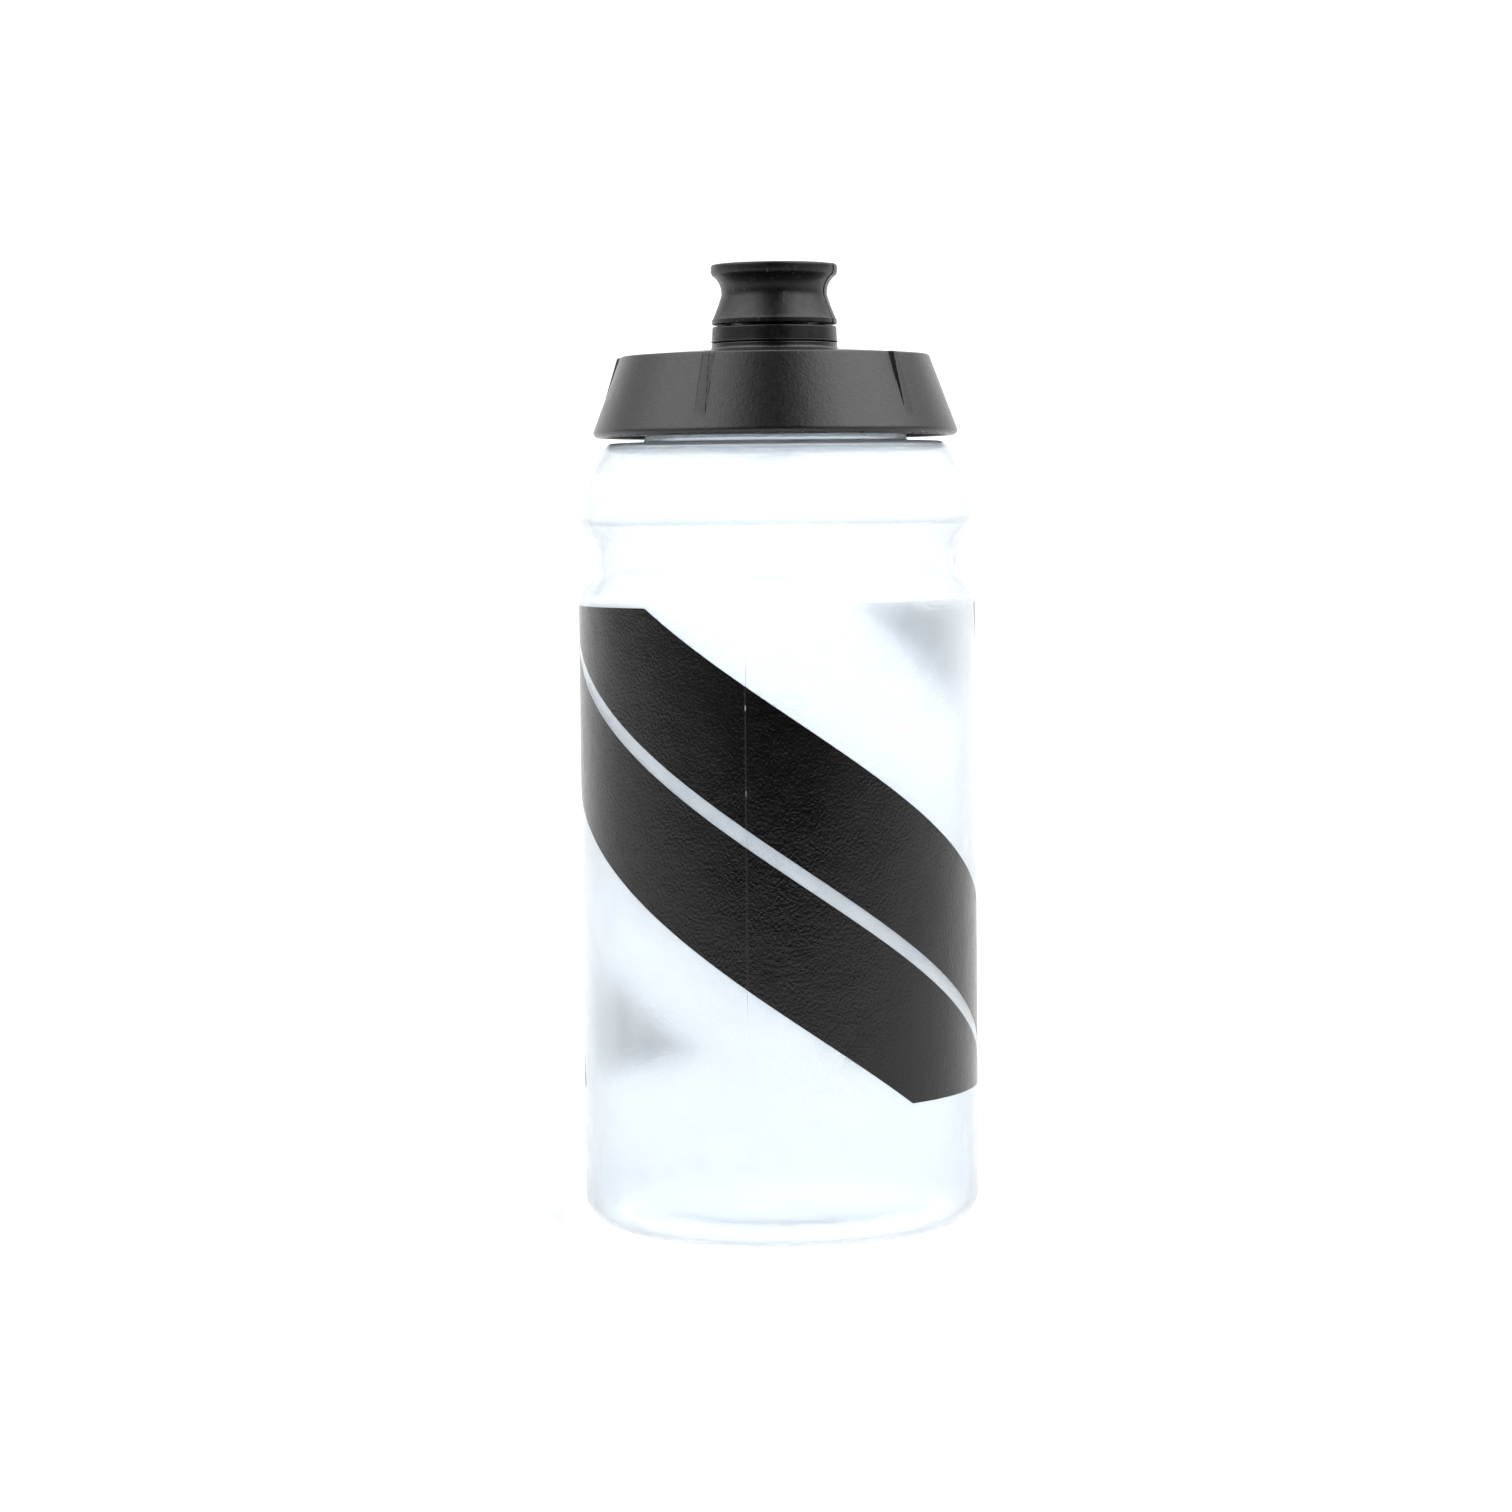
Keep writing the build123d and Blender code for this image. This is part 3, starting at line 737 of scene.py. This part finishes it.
def make_lid(turn):
    """The screw lid, with its grip ribs and the thread on its inner wall."""
    edge_z = LID_Z + LID_EDGE
    wall_out_r = LID_WALL_R + 1.5
    moat_z = LID_Z + 10.3
    slope = (LID_R - LID_TOP_R) / (LID_TOP_Z - edge_z)
    moat_r = LID_R - SKIRT_WALL - slope * (moat_z - edge_z)
    # The first two outlines leave out their end points, which only aim the roundings or
    # repeat a point.
    under_edge = rounded(
        [
            (LID_R - SKIRT_WALL, edge_z + 0.5),
            (LID_R - SKIRT_WALL, LID_Z, 0.2),
            (LID_R, LID_Z, LID_EDGE),
            (LID_R, edge_z),
        ]
    )[1:-1]
    cone = rounded(
        [
            (LID_R, edge_z),
            (LID_TOP_R, LID_TOP_Z, 0.5),
            (DECK_SLOPE_R + 0.2, LID_TOP_Z + 0.07),
        ]
    )
    deck = rounded(
        [
            (DECK_SLOPE_R, LID_TOP_Z + 0.08),
            (BOSS_R + 1.0, LID_TOP_Z + DECK_RISE),
            (BOSS_R, LID_TOP_Z + DECK_RISE, 0.7),
            (BOSS_R, BOSS_Z, 0.25),
            (HOLE_R, BOSS_Z, 0.15),
            (HOLE_R, DECK_UNDER_Z, 0.15),
            (SEAT_STEP_R, DECK_UNDER_Z, 0.3),
            (SEAT_R, SEAT_Z, 0.2),
            (LID_WALL_R, SEAT_Z, 0.3),
            (LID_WALL_R, LID_Z + 1.0, 0.25),
            (wall_out_r, LID_Z + 1.0, 0.25),
            (wall_out_r, moat_z, 0.4),
            (moat_r, moat_z, 0.4),
            (LID_R - SKIRT_WALL, edge_z),
        ]
    )
    thread = thread_ridge(
        LID_WALL_R, outward=-1, start_z=MOUTH_Z - 9.7, start=math.radians(151), turns=1.0
    )
    fine_cone = divided(cone[:2], longest=0.45)[1:] + cone[2:-1]
    shell = lathe(
        [(under_edge, no_relief), (fine_cone, rib_relief), (deck, no_relief)], turn
    )
    return make_piece(
        "screw_lid",
        [shell, thread],
        "lid",
        materials["lid_plastic"],
        replaces=["lid"],
    )


# ---------------------------------------------------------------- nozzle


def nozzle_relief(r, z, azimuth):
    """The groove between the two halves of the grip, one of which is a hair smaller."""
    side = r * math.sin(azimuth - NOZZLE_PARTING)
    depth = NOZZLE_GROOVE_DEPTH * max(0.0, 1 - abs(side) / NOZZLE_GROOVE_WIDTH)
    depth *= min(1.0, max(0.0, r - GROOVE_INNER_R))
    return -depth - (NOZZLE_STEP if side < 0 else 0.0), 0.0


def make_nozzle(turn):
    """The soft skin of the nozzle's grip."""
    bore_r = 8.64
    key_r, key_width = 9.04, 0.88  # the core's two ribs key into the grip
    band_r = 11.55
    hole_r = 2.6
    dish_z = NOZZLE_TOP_Z - 0.4
    floor_z = NOZZLE_TOP_Z - 0.96
    flank = ((11.4, NOZZLE_Z + 1.05), (10.5, NOZZLE_Z + 3.2), (9.76, NOZZLE_Z + 5.45))
    scoop_centre, scoop_r = (13.66, NOZZLE_Z + 5.85), 3.9
    outside = rounded(
        [
            (bore_r, NOZZLE_Z, 0.15),
            (band_r, NOZZLE_Z, 0.25),
            (band_r, NOZZLE_Z + 0.9, 0.06),
            flank[0],
        ]
    )
    outside += arc_through(*flank, count=8)[1:]
    outside += arc(scoop_centre, scoop_r, math.pi, math.radians(124), math.radians(5))
    outside += rounded(
        [
            (LIP_R, NOZZLE_Z + 9.65),
            (LIP_R, NOZZLE_TOP_Z, 0.5),
            (8.0, NOZZLE_TOP_Z, 2.0),
            (4.6, dish_z, 2.0),
            (hole_r, dish_z, 0.3),
            (hole_r, floor_z),
        ]
    )
    inside = [(bore_r, floor_z)]
    for key_z in (NOZZLE_Z + 8.46, NOZZLE_Z + 1.46):
        inside += [
            (bore_r, key_z + key_width),
            (key_r, key_z + key_width),
            (key_r, key_z),
            (bore_r, key_z),
        ]
    shell = lathe([(outside, nozzle_relief), (inside, no_relief)], turn)
    return make_piece(
        "nozzle_grip_skin",
        [shell],
        "nozzle",
        materials["nozzle_rubber"],
        replaces=["nozzle_grip"],
    )


# ---------------------------------------------------------------- build

both_sides = (BOTTLE_PARTING % (2 * math.pi), BOTTLE_PARTING + math.pi)
barrel_turn = azimuths(192, both_sides, fine_reach=0.4 / BARREL_R, fine_step=0.08 / BARREL_R)
make_bottle(barrel_turn)
make_print(barrel_turn)

rib_azimuths = [
    (RIB_AZIMUTH + 2 * math.pi * k / RIB_COUNT) % (2 * math.pi) for k in range(RIB_COUNT)
]
mid_cone_r = 30
lid_turn = azimuths(
    180, rib_azimuths, fine_reach=1.62 / mid_cone_r, fine_step=0.09 / mid_cone_r
)
make_lid(lid_turn)

nozzle_sides = (NOZZLE_PARTING, NOZZLE_PARTING + math.pi)
waist_r = 10
nozzle_turn = azimuths(144, nozzle_sides, fine_reach=0.48 / waist_r, fine_step=0.08 / waist_r)
make_nozzle(nozzle_turn)

kept_nodes = {
    "valve_housing": "housing_plastic",
    "membrane_retainer": "housing_plastic",
    "lid_seal": "seal_rubber",
    "housing_seal": "seal_rubber",
    "nozzle_seal": "seal_rubber",
    "valve_membrane": "membrane_silicone",
    "nozzle_core": "core_plastic",
}
for node, material in kept_nodes.items():
    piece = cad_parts[node]
    for slot in piece.material_slots:
        slot.material = materials[material]


# ---------------------------------------------------------------- stage


def make_floor():
    """A wide pale table top, level with the bottle's foot."""
    size, front = 6.0, -0.45
    corners = [(-size, front, 0), (size, front, 0), (size, size, 0), (-size, size, 0)]
    mesh = bpy.data.meshes.new("floor")
    mesh.from_pydata(corners, [], [(0, 1, 2, 3)])
    floor = bpy.data.objects.new("floor", mesh)
    bpy.context.scene.collection.objects.link(floor)
    s = Surface("floor_with_painted_glow", Roughness=0.9)
    tone = s.noise(0.35, detail=2)
    s.paint(s.colours(tone, (0.58, 0.58, 0.58), (0.60, 0.60, 0.60)))
    # It glows: painted light, a little everywhere and most under the foot, standing in for
    # the light that would come down through the bottle.
    s.shader.inputs["Emission Color"].default_value = (1, 1, 1, 1)
    distance = s.add("ShaderNodeVectorMath", operation="LENGTH")
    s.link(s.place, distance, 0)
    painted_glow = s.spread(distance.outputs["Value"], 0.024, 0.042, 1.6, 0.17)
    s.link(painted_glow, s.shader, "Emission Strength")
    mesh.materials.append(s.material)


def make_world():
    """A white room with a tall soft light high up on each side.

    It is dark behind the camera, so that black parts have contrast. The camera itself
    sees plain white behind the object, and a ray that has gone through the plastic sees a
    brighter white.
    """
    world = bpy.data.worlds.new("studio")
    bpy.context.scene.world = world
    sky = Nodes(world)
    split = sky.add("ShaderNodeSeparateXYZ")
    sky.link(sky.add("ShaderNodeTexCoord").outputs["Generated"], split, 0)
    right, up = split.outputs["X"], split.outputs["Z"]
    # ahead is 1 beyond the object, -1 behind the camera and 0 on both sides.
    level = sky.maths("POWER", sky.maths("SUBTRACT", 1, sky.product(up, up)), 0.5)
    ahead = sky.maths("DIVIDE", split.outputs["Y"], level)
    lights = sky.product(
        sky.spread(ahead, -0.985, -0.72),
        sky.spread(up, 0.05, 0.65, 0.22, 3.7),
        sky.spread(ahead, 0.0, 0.5, 1, 0.45),
        sky.spread(right, -0.5, 0.5, 0.95, 1.13),
    )
    backdrop = sky.product(sky.spread(ahead, 0.1, 0.8), sky.spread(up, 0.2, 0.45, 1.3, 0))
    room = sky.maths("ADD", sky.maths("MAXIMUM", lights, backdrop), 0.03)
    path = sky.add("ShaderNodeLightPath")
    glare = 3.1  # how bright the room is to the light that has gone through the plastic
    through = sky.maths("MULTIPLY", path.outputs["Is Transmission Ray"], glare)
    seen = sky.maths("MAXIMUM", path.outputs["Is Camera Ray"], through)
    background = sky.tree.nodes["Background"]
    background.inputs["Color"].default_value = (1, 1, 1, 1)
    sky.link(sky.maths("MAXIMUM", room, seen), background, "Strength")


def make_camera():
    """A camera a little below the lid's height, turned down to the middle of the bottle."""
    lens = bpy.data.cameras.new("camera")
    lens.sensor_width = 36.0
    lens.lens = 89.84
    camera = bpy.data.objects.new("camera", lens)
    bpy.context.scene.collection.objects.link(camera)
    camera.location = (0, -0.7, 0.1334)
    pitch, roll, yaw = -3.858, 0.55, 0.302
    camera.rotation_euler = [math.radians(angle) for angle in (90 + pitch, roll, yaw)]
    bpy.context.scene.camera = camera


make_floor()
make_world()
make_camera()
bpy.context.scene.view_settings.view_transform = "Standard"
